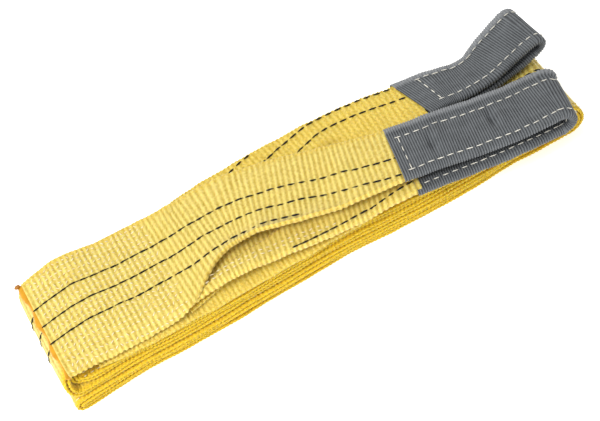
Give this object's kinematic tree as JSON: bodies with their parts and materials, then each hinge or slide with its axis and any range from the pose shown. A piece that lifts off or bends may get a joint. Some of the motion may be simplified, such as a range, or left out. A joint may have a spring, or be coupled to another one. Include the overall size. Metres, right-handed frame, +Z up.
{
  "type": "flat web sling",
  "caption": "Two-ply flat woven lifting sling with sleeved reinforced eyes, folded into a flat pack, both eyes on top and free to lift.",
  "frame": {"origin": "centre of the folded body's underside, where the pack rests", "axes": "+X along the folded body towards the ends of the eyes, +Y across the webbing to the back eye's side, +Z up"},
  "size_m": [0.3998, 0.1149, 0.0517],
  "materials": {
    "webbing": "yellow woven polyester webbing with black tracer lines",
    "wear_sleeve": "dark grey ribbed woven sleeve",
    "sewing_thread": "off-white polyester thread"
  },
  "bodies": {
    "root": {"body_outer_ply": "webbing", "body_inner_ply": "webbing", "splice_lap_ply": "webbing", "near_splice_stitching": "sewing_thread", "back_splice_stitching": "sewing_thread", "body_edge_stitching": "sewing_thread", "near_eye_upper_leg": "webbing", "near_eye_lower_leg": "webbing", "back_eye_upper_leg": "webbing", "back_eye_lower_leg": "webbing", "near_margin_stitching": "sewing_thread", "back_margin_stitching": "sewing_thread"},
    "near_eye": {"near_eye_loop": "webbing", "near_eye_sleeve": "wear_sleeve", "near_sleeve_stitching": "sewing_thread"},
    "back_eye": {"back_eye_loop": "webbing", "back_eye_sleeve": "wear_sleeve", "back_sleeve_stitching": "sewing_thread"}
  },
  "joints": [
    {"name": "near_eye_lift", "type": "hinge", "parent": "root", "child": "near_eye", "pos_m": [0.069, -0.025, 0.0517], "axis": [-0.1392, -0.9903, 0], "range_deg": [0, 100]},
    {"name": "back_eye_lift", "type": "hinge", "parent": "root", "child": "back_eye", "pos_m": [0.1, 0.021, 0.0466], "axis": [0.0349, -0.9994, 0], "range_deg": [0, 100]}
  ]
}
